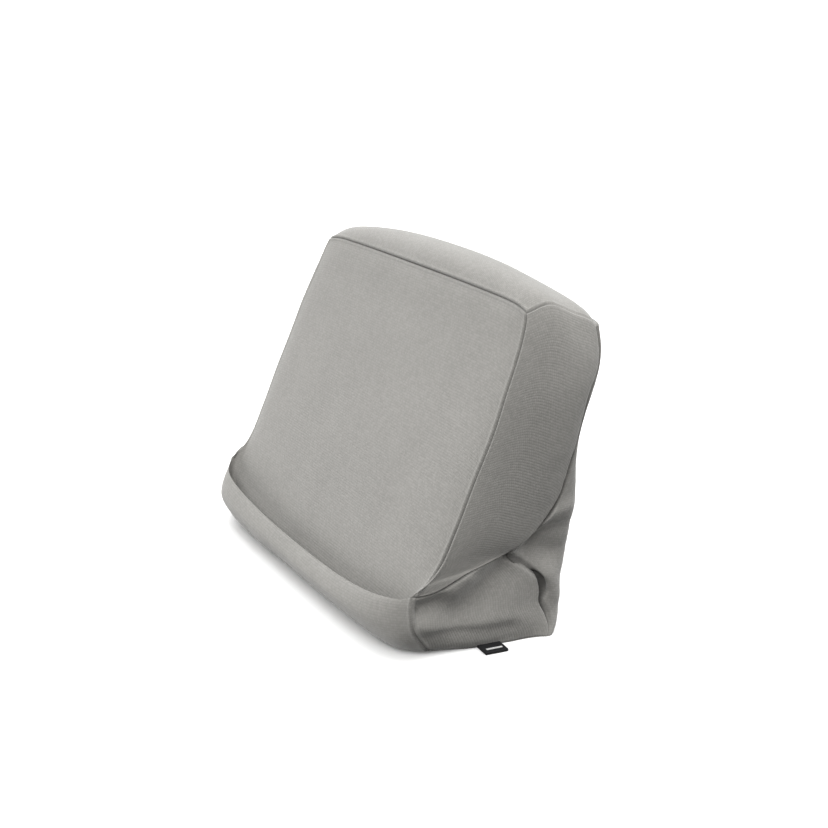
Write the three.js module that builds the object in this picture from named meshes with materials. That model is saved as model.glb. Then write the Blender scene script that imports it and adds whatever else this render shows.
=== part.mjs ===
// Tablet pillow: a filled cloth rest with a leaning front, a lip, a crowned boxing and a broad base.
// Millimetres, +X to the right, +Y to the back, +Z up, the origin in the middle of the flat base.
import * as THREE from 'three';
import { mergeVertices } from 'three/addons/utils/BufferGeometryUtils.js';

// Driving sizes of the leaning front: its slope and where its plane would meet the table.
const panelLean = THREE.MathUtils.degToRad(66);
const panelFoot = -57;

// Side boxing: how far its crown stands out beyond the straight line between its seams, over which
// share of the front seam's length that grows from the tip, and how square its upper end is.
const boxingCrown = 6.5;
const boxingCrownAtTip = 2;
const crownGrowth = 0.7;
const tipGrowth = 0.3;
const topSquareness = 14;

// How the boxing's crown falls to its back seam: flat at the lower seam, turning in at the rear seam.
// The change begins at one share of the front seam's length and takes another.
const boxingFall = [0.8, 0.35];
const boxingFlatEnd = 0.3;
const boxingTurn = 0.25;

// How fast the bend of the top corner's seam is lost down the boxing.
const cornerReach = 5;

// Side of the base: its crown, how even that is along the base, and its knee, where it stands out
// most: the knee's place from the top, and how sharp it is. Pairs are for the front and the rear.
const baseSideCrown = 2.5;
const baseSideCrownAtRear = 1;
const sideEvenness = 0.6;
const kneePlace = [0.39, 0.62];
const kneeSharpness = [9, 5];
const kneeStart = 1.2;

// How a panel falls to its side seams: a slow fall over the whole width and a quick roll at the seam.
const slowFall = 2.5;
const quickFall = 16;
const rearSoft = 0.3;

// Steps across the width, and how much closer the outer ones lie.
const columns = 42;
const columnCrowding = 0.62;

// A row is a line across the pillow: mid (y, z) is its middle, end (x, y, z) its point on the right
// seam, soft the share of the slow fall, steps the divisions down to the next row. turn is the power
// of the quick roll on the left and on the right, rise the share of the slow fall in the height.
function row(mid, end, soft, steps, turn = [quickFall, quickFall], rise = soft) {
  return { mid, end, soft, steps, turn, rise };
}

// A row of the rear panel: square says how square its corner is in plan.
function rearRow(mid, end, square, steps) {
  return { mid, end, square, steps };
}

// Front cloth, one run from the top seam to the ground.
const frontRows = {
  'top seam': row([24.4, 184], [123.6, 23.4, 180], 0.3, 2),
  'top roll': row([onPanel(178) - 1.2, 178], [125.8, 21.9, 174.6], 0.1, 3),
  'panel 1': row([onPanel(160), 160], [128.5, 17.2, 162], 0.1, 3),
  'panel 2': row([onPanel(140), 140], [131.3, 8, 141], 0.1, 3),
  'panel 3': row([onPanel(120), 120], [132.8, -0.4, 120], 0.1, 4),
  'panel 4': row([onPanel(95), 95], [133, -11.8, 95], 0.1, 4),
  'panel 5': row([onPanel(70), 70], [133, -22.5, 70], 0.1, 3),
  'panel 6': row([onPanel(50), 50], [132.6, -31, 52.8], 0.1, 3),
  'panel 7': row([onPanel(30), 30], [131.6, -38, 44.5], 0.15, 3, [16, 12]),
  'above crease': row([-50, 15.5], [131.6, -40.9, 42.7], 0.2, 1, [16, 9]),
  'crease back': row([-52.4, 10.8], [131.5, -42.2, 41.9], 0.1, 2, [13, 8], 0.15),
  'crease front': row([-57, 10.8], [131.4, -43.3, 41.1], 0.1, 1, [13, 8], 0.15),
  'lip inside': row([-59.4, 15], [131.3, -44.4, 40.1], 0.1, 2, [13, 8], 0.4),
  'lip corner': row([-57.9, 21.5], [131.1, -45.8, 37.8], 0.12, 2, [13, 8], 0.85),
  'lip top': row([-57.6, 26], [131, -46.4, 35.8], 0.12, 1, [12, 8], 1),
  'lip edge': row([-60.6, 23.8], [131, -46.7, 33], 0.12, 2, [13, 8], 0.95),
  'lip face': row([-63.8, 17.4], [131, -46.6, 26.5], 0.12, 2, [16, 8], 0.5),
  'low face': row([-60.8, 10.5], [130.8, -45.7, 19.5], 0.12, 2, [22, 9], 0.3),
  'low roll': row([-54.5, 4.6], [129.6, -41.8, 12.2], 0.12, 2, [26, 14]),
  'underside': row([-49.5, 1.2], [126.4, -35.6, 4.2], 0.1, 1),
  'base edge': row([-45, 0], [121, -30.8, 0], 0.1, 0),
};

// Top boxing, from the front seam over the crown to the rear seam.
const topRows = {
  'front seam': row([24.4, 184], [123.6, 23.4, 180], 0.3, 2),
  'front rise': row([28.2, 190.5], [124, 27, 181.1], 0.5, 1),
  'crown 1': row([35, 194.8], [124, 31.7, 182.7], 0.6, 1),
  'crown 2': row([42, 195.6], [124, 38, 183.4], 0.75, 1),
  'crown 3': row([49, 194], [123.8, 45.3, 180.6], 0.78, 1),
  'crown 4': row([56, 190.6], [123.6, 53.4, 176.6], 0.76, 1),
  'rear fall': row([63, 185], [123.8, 60.2, 174], 0.6, 1),
  'rear roll': row([68.6, 179], [124.4, 64.6, 171.2], 0.5, 2),
  'rear seam': row([70.3, 173], [125, 66, 168.6], 0.3, 0),
};

// Rear panel, from the rear seam to the ground. It wraps round both sides below the boxing.
const rearRows = {
  'rear seam': rearRow([70.3, 173], [125, 66, 168.6], 6, 2),
  'back 1': rearRow([71.2, 160], [127, 66.3, 156], 6, 3),
  'back 2': rearRow([69, 146], [129, 63.8, 146], 6, 3),
  'back 3': rearRow([65, 132], [131, 58, 135.5], 6, 3),
  'waist': rearRow([58, 116], [131.3, 52.2, 115.5], 5, 3),
  'belly 1': rearRow([58.8, 98], [131.3, 47.4, 98], 4.5, 2),
  'belly 2': rearRow([62.2, 82], [131.3, 42.4, 80], 4.5, 2),
  'belly 3': rearRow([64.2, 70], [131.5, 34.6, 69], 4.8, 1),
  'belly 4': rearRow([61.6, 61], [131.5, 25.6, 59.6], 5.6, 1),
  'belly 5': rearRow([60.8, 54.5], [131.3, 17.9, 54.8], 6.4, 1),
  'junction': rearRow([60.4, 49], [131, 10.7, 51.9], 6.8, 1),
  'low back 1': rearRow([59.4, 43], [130.2, 17.8, 46], 6.3, 2),
  'low back 2': rearRow([58.2, 34.5], [129.6, 26.9, 39.4], 5.2, 1),
  'low back 3': rearRow([56, 28.5], [129.4, 31.9, 34.5], 4.6, 1),
  'low back 4': rearRow([54.4, 22.5], [129, 34.6, 26], 4.4, 2),
  'low back 5': rearRow([54.6, 16], [129.4, 33.6, 19.2], 4.2, 2),
  'low back 6': rearRow([53, 9.5], [130.8, 36.2, 12], 4, 2),
  'low back 7': rearRow([48, 3.5], [133, 37, 5], 4, 1),
  'base edge': rearRow([43, 0], [134.6, 35.2, 0], 4, 0),
};

// Lower seam of the side boxing, from the lip's corner back to the junction of three seams.
const lowerSeam = [
  { x: 131.1, y: -45.8, z: 37.8 },
  { x: 132.2, y: -39.3, z: 37.4 },
  { x: 133.6, y: -31.4, z: 39.2 },
  { x: 134.8, y: -22.1, z: 43.8 },
  { x: 135, y: -13.9, z: 47.3 },
  { x: 133.8, y: -1.4, z: 50.2 },
  { x: 131, y: 10.7, z: 51.9 },
];
const lowerSeamSteps = 13;

// Foot of the base's side panel, on the ground.
const sideFoot = [
  { x: 121, y: -30.8, z: 0 },
  { x: 124.8, y: -20.5, z: 0 },
  { x: 128.4, y: -9.5, z: 0 },
  { x: 130, y: 3, z: 0 },
  { x: 131, y: 14, z: 0 },
  { x: 131.4, y: 24, z: 0 },
  { x: 133, y: 31, z: 0 },
  { x: 134.6, y: 35.2, z: 0 },
];

// Folds: soft ridges (height over 0) and troughs (under 0) along a line, in a panel where it faces one
// way. The line is seen from that way: (y, z) for the right and the left, (x, z) for the front and
// the back. width is how wide the fold is above its line and below it.
const folds = [
  { panel: 'base side', faces: 'right', start: [-43, 30], end: [-31, 32.5], height: -3.6, width: [4.5, 7] },
  { panel: 'base side', faces: 'right', start: [-26, 36], end: [-14, 42.5], height: 1.2, width: [3, 5] },
  { panel: 'base side', faces: 'right', start: [-19, 24.5], end: [8, 43], height: -5.2, width: [8.5, 14] },
  { panel: 'base side', faces: 'right', start: [-38, 12.5], end: [12, 9.5], height: -1.8, width: [3.5, 9] },
  { panel: 'base side', faces: 'left', start: [-40, 34], end: [-18, 39.5], height: -3.4, width: [4.4, 4.4] },
  { panel: 'base side', faces: 'left', start: [-20, 28], end: [8, 36], height: -4.6, width: [8, 8] },
  { panel: 'rear', faces: 'right', start: [33, 68], end: [48, 72], height: 1.6, width: [4, 3] },
  { panel: 'rear', faces: 'right', start: [26, 60], end: [44, 61], height: -2.5, width: [4, 6] },
  { panel: 'rear', faces: 'right', start: [26, 51], end: [38, 49], height: -4.2, width: [8, 8] },
  { panel: 'rear', faces: 'right', start: [37, 34], end: [43, 20], height: 2.2, width: [6, 6] },
  { panel: 'rear', faces: 'left', start: [34, 70], end: [54, 78], height: 1.8, width: [6, 6] },
  { panel: 'rear', faces: 'left', start: [26, 54], end: [50, 57], height: -3, width: [8, 8] },
  { panel: 'front', faces: 'front', start: [-88, 9], end: [-45, 6], height: 1.2, width: [12, 12] },
];

const facing = { right: [1, 0], left: [-1, 0], front: [0, -1], back: [0, 1] };

// The loop tag in the right base seam: a folded tape that lies on the table.
const tag = { width: 13.5, reach: 9.5, thickness: 1.8, x: 131.2, y: 0.2, turn: -3 };

// Points closer than this are one point.
const weldDistance = 1e-3;

const cloth = new THREE.MeshStandardMaterial({ name: 'cloth', color: 0x8b8984, roughness: 0.95 });
const tape = new THREE.MeshStandardMaterial({ name: 'tape', color: 0x1c1d1e, roughness: 0.85 });

// The y of the front panel's plane at a height.
function onPanel(z) {
  return panelFoot + z / Math.tan(panelLean);
}

// A point on a centripetal Catmull-Rom curve through points, in the span after point k.
function onCurve(points, k, f) {
  const last = points.length - 1;
  if (k >= last) return points[last].clone();
  if (f === 0) return points[k].clone();
  const b = points[k];
  const c = points[k + 1];
  const a = k > 0 ? points[k - 1] : b.clone().multiplyScalar(2).sub(c);
  const d = k + 2 <= last ? points[k + 2] : c.clone().multiplyScalar(2).sub(b);
  const t1 = Math.sqrt(a.distanceTo(b));
  const t2 = t1 + Math.sqrt(b.distanceTo(c));
  const t3 = t2 + Math.sqrt(c.distanceTo(d));
  const t = t1 + (t2 - t1) * f;
  const mix = (p, q, from, to) => p.clone().multiplyScalar((to - t) / (to - from))
    .addScaledVector(q, (t - from) / (to - from));
  const ab = mix(a, b, 0, t1);
  const bc = mix(b, c, t1, t2);
  const cd = mix(c, d, t2, t3);
  return mix(mix(ab, bc, 0, t2), mix(bc, cd, t1, t3), t1, t2);
}

// Places of the steps between rows, such as 2.5 for halfway from row 2 to row 3.
function rowPlaces(rows) {
  const table = Object.values(rows);
  const spans = table.slice(0, -1).flatMap(({ steps }, k) => (
    Array.from({ length: steps }, (_, i) => k + i / steps)
  ));
  return [...spans, table.length - 1];
}

// Points of the curve through points, and plain values between values, at such places.
function pointsAt(points, places) {
  return places.map((place) => onCurve(points, Math.floor(place), place % 1));
}

function valuesAt(values, places) {
  return places.map((place) => {
    const k = Math.min(Math.floor(place), values.length - 2);
    return THREE.MathUtils.lerp(values[k], values[k + 1], place - k);
  });
}

function stepsTo(rows, name) {
  const before = Object.keys(rows).indexOf(name);
  return Object.values(rows).slice(0, before).reduce((sum, { steps }) => sum + steps, 0);
}

// Evenly spaced points on a curve through table points.
function evenPoints(table, steps) {
  const points = table.map((p) => new THREE.Vector3(p.x, p.y, p.z));
  const fine = [];
  const fineSteps = 24;
  for (let k = 0; k < points.length - 1; k += 1) {
    for (let i = 0; i < fineSteps; i += 1) fine.push(onCurve(points, k, i / fineSteps));
  }
  fine.push(points[points.length - 1].clone());
  return resample(fine, evenShares(steps));
}

function evenShares(steps) {
  return Array.from({ length: steps + 1 }, (_, i) => i / steps);
}

// Shares of the width from -1 to 1, closer together near both ends.
function columnShares() {
  return Array.from({ length: columns + 1 }, (_, i) => {
    const even = (2 * i) / columns - 1;
    const crowded = Math.sin((Math.PI / 2) * even);
    return even + (crowded - even) * columnCrowding;
  });
}

// Points at given shares of a polyline's length.
function resample(line, shares) {
  const reach = [0];
  for (let i = 1; i < line.length; i += 1) reach.push(reach[i - 1] + line[i].distanceTo(line[i - 1]));
  const total = reach[reach.length - 1];
  let k = 0;
  return shares.map((share) => {
    if (share <= 0) return line[0].clone();
    if (share >= 1) return line[line.length - 1].clone();
    while (reach[k + 1] < share * total) k += 1;
    const f = (share * total - reach[k]) / (reach[k + 1] - reach[k]);
    return line[k].clone().lerp(line[k + 1], f);
  });
}

function lengthShares(line) {
  const reach = [0];
  for (let i = 1; i < line.length; i += 1) reach.push(reach[i - 1] + line[i].distanceTo(line[i - 1]));
  return reach.map((value) => value / reach[reach.length - 1]);
}

function fall(share, soft, turn = quickFall) {
  const t = Math.abs(share);
  return soft * t ** slowFall + (1 - soft) * t ** turn;
}

// The middles and ends of a table's rows, at every step.
function rowLines(rows) {
  const table = Object.values(rows);
  const places = rowPlaces(rows);
  const mids = pointsAt(table.map(({ mid }) => new THREE.Vector3(0, ...mid)), places);
  const ends = pointsAt(table.map(({ end }) => new THREE.Vector3(...end)), places);
  const column = (pick) => valuesAt(table.map(pick), places);
  return { mids, ends, column };
}

// A panel as a grid of points, from rows of lines across the pillow.
function rowPanel(rows, shares) {
  const { mids, ends, column } = rowLines(rows);
  const softs = column((line) => line.soft);
  const rises = column((line) => line.rise);
  const turns = [column((line) => line.turn[0]), column((line) => line.turn[1])];
  return mids.map((mid, i) => shares.map((share) => {
    const back = fall(share, softs[i], turns[share < 0 ? 0 : 1][i]);
    const up = fall(share, rises[i]);
    return new THREE.Vector3(
      ends[i].x * share,
      mid.y + (ends[i].y - mid.y) * back,
      mid.z + (ends[i].z - mid.z) * up,
    );
  }));
}

// The rear panel: each line runs across the back and round a square-ish corner to the side seam.
function wrapPanel(rows, shares) {
  const { mids, ends, column } = rowLines(rows);
  const squares = column((line) => line.square);
  const fineSteps = 240;
  return mids.map((mid, i) => {
    const power = 2 / squares[i];
    const half = [];
    for (let k = 0; k <= fineSteps; k += 1) {
      const angle = (Math.PI / 2) * (k / fineSteps);
      const across = Math.sin(angle) ** power;
      const depth = k === fineSteps ? 0 : Math.cos(angle) ** power;
      half.push(new THREE.Vector3(ends[i].x * across, ends[i].y + (mid.y - ends[i].y) * depth, 0));
    }
    const middle = columns / 2;
    const walk = resample(half, shares.slice(middle));
    return shares.map((share, j) => {
      const point = walk[Math.abs(j - middle)].clone();
      point.x *= Math.sign(share);
      point.z = mid.z + (ends[i].z - mid.z) * fall(share, rearSoft);
      return point;
    });
  });
}

// How full a crown stands between two seams, 0 on both and 1 in the middle.
function crownShare(v) {
  return Math.sqrt(Math.max(0, 4 * v * (1 - v)));
}

// The same for a crown that falls to its second seam with a power of its own.
function lopsidedShare(v, power) {
  const peak = 0.5 / (0.5 + power);
  return Math.sqrt(v / peak) * ((1 - v) / (1 - peak)) ** power;
}

// How far a bent panel stands out between two seams: slowly, then faster up to the place of its knee,
// and straight down from it.
function kneeShare(v, place, sharpness) {
  const rise = (v / place) ** (-sharpness * kneeStart);
  const drop = ((1 - v) / (1 - place)) ** -sharpness;
  return (rise + drop) ** (-1 / sharpness);
}

function mixed([low, high], share) {
  return low + (high - low) * share;
}

// From 0 to 1, level at 1.
function eased(x) {
  return Math.sin((THREE.MathUtils.clamp(x, 0, 1) * Math.PI) / 2);
}

// The right side boxing: between the front seam and the back seam, which meet at the lip's corner.
function boxingPanel(frontSeam, backSeam, cornerSeam) {
  const across = lengthShares(cornerSeam);
  const along = lengthShares(frontSeam);
  const last = frontSeam.length - 1;
  return frontSeam.map((front, i) => across.map((v, j) => {
    if (j === 0) return front.clone();
    if (j === across.length - 1) return backSeam[i].clone();
    if (i === last) return cornerSeam[j].clone();
    const point = front.clone().lerp(backSeam[i], v);
    const top = cornerSeam[j].clone().sub(cornerSeam[0].clone().lerp(cornerSeam[cornerSeam.length - 1], v));
    point.addScaledVector(top, along[i] ** cornerReach);
    const power = mixed(boxingFall, eased((along[i] - boxingFlatEnd) / boxingTurn) ** 2);
    const crown = mixed([boxingCrownAtTip, boxingCrown], eased(along[i] / crownGrowth));
    const rounding = eased(along[i] / tipGrowth) * Math.sqrt(Math.max(0, 1 - along[i] ** topSquareness));
    point.x += crown * lopsidedShare(v, power) * rounding;
    return point;
  }));
}

// The right base side panel: a patch between its four edges.
function baseSidePanel(upper, lower, front, rear) {
  const u = lengthShares(upper);
  const v = lengthShares(front);
  return front.map((_, i) => upper.map((__, j) => {
    if (i === 0) return upper[j].clone();
    if (i === front.length - 1) return lower[j].clone();
    if (j === 0) return front[i].clone();
    if (j === upper.length - 1) return rear[i].clone();
    const rows = upper[j].clone().lerp(lower[j], v[i]);
    const cols = front[i].clone().lerp(rear[i], u[j]);
    const corners = upper[0].clone().lerp(upper[upper.length - 1], u[j])
      .lerp(lower[0].clone().lerp(lower[lower.length - 1], u[j]), v[i]);
    const point = rows.add(cols).sub(corners);
    const crown = mixed([baseSideCrown, baseSideCrownAtRear], u[j]) * crownShare(u[j]) ** sideEvenness;
    point.x += crown * kneeShare(v[i], mixed(kneePlace, u[j]), mixed(kneeSharpness, u[j]));
    return point;
  }));
}

// How much of a fold is left at a point, by its distance from the fold's line.
function foldShare(p, normal, { faces, start, end, width }) {
  const [fx, fy] = facing[faces];
  const at = new THREE.Vector2(fx ? p.y : p.x, p.z);
  const first = new THREE.Vector2(...start);
  const line = new THREE.Vector2(...end).sub(first);
  const f = THREE.MathUtils.clamp(at.clone().sub(first).dot(line) / line.lengthSq(), 0, 1);
  const gap = at.sub(first.addScaledVector(line, f));
  const above = 0.5 + gap.y / 2 / Math.max(gap.length(), weldDistance);
  const reach = mixed([width[1], width[0]], above);
  const faced = THREE.MathUtils.clamp(normal.x * fx + normal.y * fy, 0, 1);
  return Math.sqrt(faced) * Math.exp(-gap.lengthSq() / reach ** 2);
}

// Moves the inner points of a panel outwards or inwards at its folds.
function crease(grid, panel, flip) {
  const own = folds.filter((fold) => fold.panel === panel);
  return grid.map((line, i) => line.map((p, j) => {
    if (i === 0 || j === 0 || i === grid.length - 1 || j === line.length - 1) return p.clone();
    const down = grid[i + 1][j].clone().sub(grid[i - 1][j]);
    const over = line[j + 1].clone().sub(line[j - 1]);
    const normal = (flip ? over.cross(down) : down.cross(over)).normalize();
    const height = own.reduce((sum, fold) => sum + fold.height * foldShare(p, normal, fold), 0);
    const moved = p.clone().addScaledVector(normal, height);
    moved.z = Math.max(0, moved.z);
    return moved;
  }));
}

function mirrored(grid) {
  return grid.map((row) => row.map((p) => new THREE.Vector3(-p.x, p.y, p.z)));
}

// Adds a grid's triangles, skipping those that close up at a point.
function addGrid(triangles, grid, flip) {
  const add = (a, b, c) => {
    if (a.equals(b) || b.equals(c) || c.equals(a)) return;
    if (flip) triangles.push(a, c, b);
    else triangles.push(a, b, c);
  };
  for (let i = 0; i < grid.length - 1; i += 1) {
    for (let j = 0; j < grid[i].length - 1; j += 1) {
      const [a, b, c, d] = [grid[i][j], grid[i][j + 1], grid[i + 1][j + 1], grid[i + 1][j]];
      if (a.distanceToSquared(c) < b.distanceToSquared(d)) {
        add(a, c, b);
        add(a, d, c);
      } else {
        add(a, d, b);
        add(b, d, c);
      }
    }
  }
}

function closedGeometry(triangles) {
  const geometry = new THREE.BufferGeometry();
  const numbers = triangles.flatMap((p) => [p.x, p.y, p.z]);
  geometry.setAttribute('position', new THREE.Float32BufferAttribute(numbers, 3));
  const merged = mergeVertices(geometry, weldDistance);
  merged.computeVertexNormals();
  return merged;
}

// The filled bag with all its panels.
function pillowMesh() {
  const shares = columnShares();
  const front = rowPanel(frontRows, shares);
  const top = rowPanel(topRows, shares);
  const rear = wrapPanel(rearRows, shares);
  const lastColumn = columns;
  top[top.length - 1] = rear[0].map((p) => p.clone());
  const frontSide = front.map((row) => row[lastColumn]);
  const rearSide = rear.map((row) => row[lastColumn]);
  const cornerSeam = top.map((row) => row[lastColumn]);
  const lipCorner = stepsTo(frontRows, 'lip corner');
  const junction = stepsTo(rearRows, 'junction');
  const lower = evenPoints(lowerSeam, lowerSeamSteps);
  lower[0] = frontSide[lipCorner].clone();
  lower[lowerSeamSteps] = rearSide[junction].clone();
  const frontSeam = frontSide.slice(0, lipCorner + 1).reverse();
  const backSeam = [...lower, ...rearSide.slice(0, junction).reverse()];
  const foot = evenPoints(sideFoot, lowerSeamSteps);
  const boxing = boxingPanel(frontSeam, backSeam, cornerSeam);
  const baseSide = baseSidePanel(lower, foot, frontSide.slice(lipCorner), rearSide.slice(junction));
  const triangles = [];
  addGrid(triangles, crease(front, 'front', false), false);
  addGrid(triangles, top, true);
  addGrid(triangles, crease(rear, 'rear', true), true);
  addGrid(triangles, boxing, true);
  addGrid(triangles, mirrored(boxing), false);
  addGrid(triangles, crease(baseSide, 'base side', false), false);
  addGrid(triangles, crease(mirrored(baseSide), 'base side', true), true);
  const rim = [
    ...front[front.length - 1],
    ...foot.slice(1, -1),
    ...[...rear[rear.length - 1]].reverse(),
    ...mirrored([foot])[0].reverse().slice(1, -1),
  ];
  const plan = rim.map((p) => new THREE.Vector2(p.x, p.y));
  for (const [a, b, c] of THREE.ShapeUtils.triangulateShape(plan, [])) {
    triangles.push(rim[a], rim[c], rim[b]);
  }
  const mesh = new THREE.Mesh(closedGeometry(triangles), cloth);
  mesh.name = 'pillow';
  return mesh;
}

// The loop tag: a flat tape folded back on itself, with a round fold at its outer end.
function tagMesh() {
  const half = tag.thickness / 2;
  const outline = new THREE.Shape();
  outline.moveTo(0, 0);
  outline.lineTo(tag.reach - half, 0);
  outline.absarc(tag.reach - half, half, half, -Math.PI / 2, Math.PI / 2, false);
  outline.lineTo(0, tag.thickness);
  outline.closePath();
  const along = { depth: tag.width, bevelEnabled: false, curveSegments: 6 };
  const geometry = new THREE.ExtrudeGeometry(outline, along);
  geometry.rotateX(Math.PI / 2);
  geometry.translate(0, tag.width / 2, 0);
  geometry.deleteAttribute('normal');
  geometry.deleteAttribute('uv');
  const mesh = new THREE.Mesh(mergeVertices(geometry, weldDistance), tape);
  mesh.name = 'tag';
  mesh.rotation.z = THREE.MathUtils.degToRad(tag.turn);
  mesh.position.set(tag.x, tag.y, 0);
  return mesh;
}

const group = new THREE.Group();
group.name = 'tablet_pillow';
group.add(pillowMesh());
group.add(tagMesh());

export default group;
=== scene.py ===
import math
from collections import namedtuple

import bpy
import numpy as np
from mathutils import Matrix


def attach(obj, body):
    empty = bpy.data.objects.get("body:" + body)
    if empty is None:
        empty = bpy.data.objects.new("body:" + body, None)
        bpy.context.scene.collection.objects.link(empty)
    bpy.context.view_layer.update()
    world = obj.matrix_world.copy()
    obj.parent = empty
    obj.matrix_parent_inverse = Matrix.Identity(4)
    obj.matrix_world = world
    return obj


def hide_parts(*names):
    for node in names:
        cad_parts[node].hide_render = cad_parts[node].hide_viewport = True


# Tablet pillow: a filled cloth rest with a leaning front, a lip, a crowned boxing and a broad base.
# Tables and sizes are in millimetres, in the frame of the part; meshes are made in metres.
MM = 0.001
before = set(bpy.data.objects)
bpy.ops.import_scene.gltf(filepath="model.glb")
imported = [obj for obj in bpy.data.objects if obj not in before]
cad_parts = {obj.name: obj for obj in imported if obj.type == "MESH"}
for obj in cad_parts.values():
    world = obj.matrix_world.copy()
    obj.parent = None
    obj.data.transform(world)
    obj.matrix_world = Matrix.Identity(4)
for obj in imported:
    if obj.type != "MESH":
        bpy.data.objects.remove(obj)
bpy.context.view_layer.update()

# Leaning front: its slope, and where its plane would meet the table
PANEL_LEAN = math.radians(66)
PANEL_FOOT = -57

# Side boxing: how far its crown stands out beyond the straight line between its seams, over which share
# of the front seam's length that grows from the tip, and how square its upper end is
BOXING_CROWN = 6.5
BOXING_CROWN_AT_TIP = 2
CROWN_GROWTH = 0.7
TIP_GROWTH = 0.3
TOP_SQUARENESS = 14

# How the boxing's crown falls to its back seam: flat at the lower seam, turning in at the rear seam. The
# change begins at one share of the front seam's length and takes another.
BOXING_FALL = (0.8, 0.35)
BOXING_FLAT_END = 0.3
BOXING_TURN = 0.25

# How fast the bend of the top corner's seam is lost down the boxing
CORNER_REACH = 5

# Side of the base: its crown at the front and at the rear, how evenly the crown spreads, and its knee,
# which stands out most. The pairs are values at the front and at the rear.
BASE_SIDE_CROWN = 2.5
BASE_SIDE_CROWN_AT_REAR = 1
SIDE_EVENNESS = 0.6
KNEE_PLACE = (0.39, 0.62)
KNEE_SHARPNESS = (9, 5)
KNEE_START = 1.2

# How a panel falls to its side seams: a slow fall over the width and a quick roll at the seam
SLOW_FALL = 2.5
QUICK_FALL = 16

# Distances of the first lines beside a seam, and the step of the lines beyond them over the half width
SEAM_LADDER = (0.3, 0.65, 1.05, 1.5, 2.05, 2.75, 3.7, 5.0, 6.8)
WIDTH_STEP = 2.3
HALF_WIDTH = 131

# Points of two panels are one point where they agree to one part in so many of a millimetre
WELD_PARTS = 1e4

# Guards: the least distance and share that are divided by, and a distance past all seams
LEAST_DISTANCE = 1e-3
LEAST_SHARE = 1e-4
FAR_AWAY = 1e3

# Lines along the rows' own steps: how many steps lie between two, and how long a step is at a seam
ROW_STEP = 0.42
SIDE_STEP_SIZE = 5.0
BASE_STEP_SIZE = 3.6
BOXING_STEP_SIZE = 3.0

# How finely a seam's curve and the rear panel's round corner are walked to space their points
CURVE_STEPS = 200
CORNER_STEPS = 400


def on_panel(z):
    """The y of the front panel's plane at a height."""
    return PANEL_FOOT + z / math.tan(PANEL_LEAN)


# Each row is a line across the pillow: mid (y, z) is its middle, end (x, y, z) its point on the right
# seam, soft the share of the slow fall, steps the divisions down to the next row. turn is the power of
# the quick roll on the left and on the right, and rise the share of the slow fall in the height.
Row = namedtuple("Row", "mid end soft steps turn rise", defaults=[(QUICK_FALL, QUICK_FALL), None])
FRONT_ROWS = {
    "top seam": Row((24.4, 184), (123.6, 23.4, 180), 0.3, 2),
    "top roll": Row((on_panel(178) - 1.2, 178), (125.8, 21.9, 174.6), 0.1, 3),
    "panel 1": Row((on_panel(160), 160), (128.5, 17.2, 162), 0.1, 3),
    "panel 2": Row((on_panel(140), 140), (131.3, 8, 141), 0.1, 3),
    "panel 3": Row((on_panel(120), 120), (132.8, -0.4, 120), 0.1, 4),
    "panel 4": Row((on_panel(95), 95), (133, -11.8, 95), 0.1, 4),
    "panel 5": Row((on_panel(70), 70), (133, -22.5, 70), 0.1, 3),
    "panel 6": Row((on_panel(50), 50), (132.6, -31, 52.8), 0.1, 3),
    "panel 7": Row((on_panel(30), 30), (131.6, -38, 44.5), 0.15, 3, (16, 12)),
    "above crease": Row((-50, 15.5), (131.6, -40.9, 42.7), 0.2, 1, (16, 9)),
    "crease back": Row((-52.4, 10.8), (131.5, -42.2, 41.9), 0.1, 2, (13, 8), 0.15),
    "crease front": Row((-57, 10.8), (131.4, -43.3, 41.1), 0.1, 1, (13, 8), 0.15),
    "lip inside": Row((-59.4, 15), (131.3, -44.4, 40.1), 0.1, 2, (13, 8), 0.4),
    "lip corner": Row((-57.9, 21.5), (131.1, -45.8, 37.8), 0.12, 2, (13, 8), 0.85),
    "lip top": Row((-57.6, 26), (131, -46.4, 35.8), 0.12, 1, (12, 8), 1),
    "lip edge": Row((-60.6, 23.8), (131, -46.7, 33), 0.12, 2, (13, 8), 0.95),
    "lip face": Row((-63.8, 17.4), (131, -46.6, 26.5), 0.12, 2, (16, 8), 0.5),
    "low face": Row((-60.8, 10.5), (130.8, -45.7, 19.5), 0.12, 2, (22, 9), 0.3),
    "low roll": Row((-54.5, 4.6), (129.6, -41.8, 12.2), 0.12, 2, (26, 14)),
    "underside": Row((-49.5, 1.2), (126.4, -35.6, 4.2), 0.1, 1),
    "base edge": Row((-45, 0), (121, -30.8, 0), 0.1, 0),
}

# Top boxing, from the front seam over the crown to the rear seam
TOP_ROWS = {
    "front seam": Row((24.4, 184), (123.6, 23.4, 180), 0.3, 2),
    "front rise": Row((28.2, 190.5), (124, 27, 181.1), 0.5, 1),
    "crown 1": Row((35, 194.8), (124, 31.7, 182.7), 0.6, 1),
    "crown 2": Row((42, 195.6), (124, 38, 183.4), 0.75, 1),
    "crown 3": Row((49, 194), (123.8, 45.3, 180.6), 0.78, 1),
    "crown 4": Row((56, 190.6), (123.6, 53.4, 176.6), 0.76, 1),
    "rear fall": Row((63, 185), (123.8, 60.2, 174), 0.6, 1),
    "rear roll": Row((68.6, 179), (124.4, 64.6, 171.2), 0.5, 2),
    "rear seam": Row((70.3, 173), (125, 66, 168.6), 0.3, 0),
}

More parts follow.
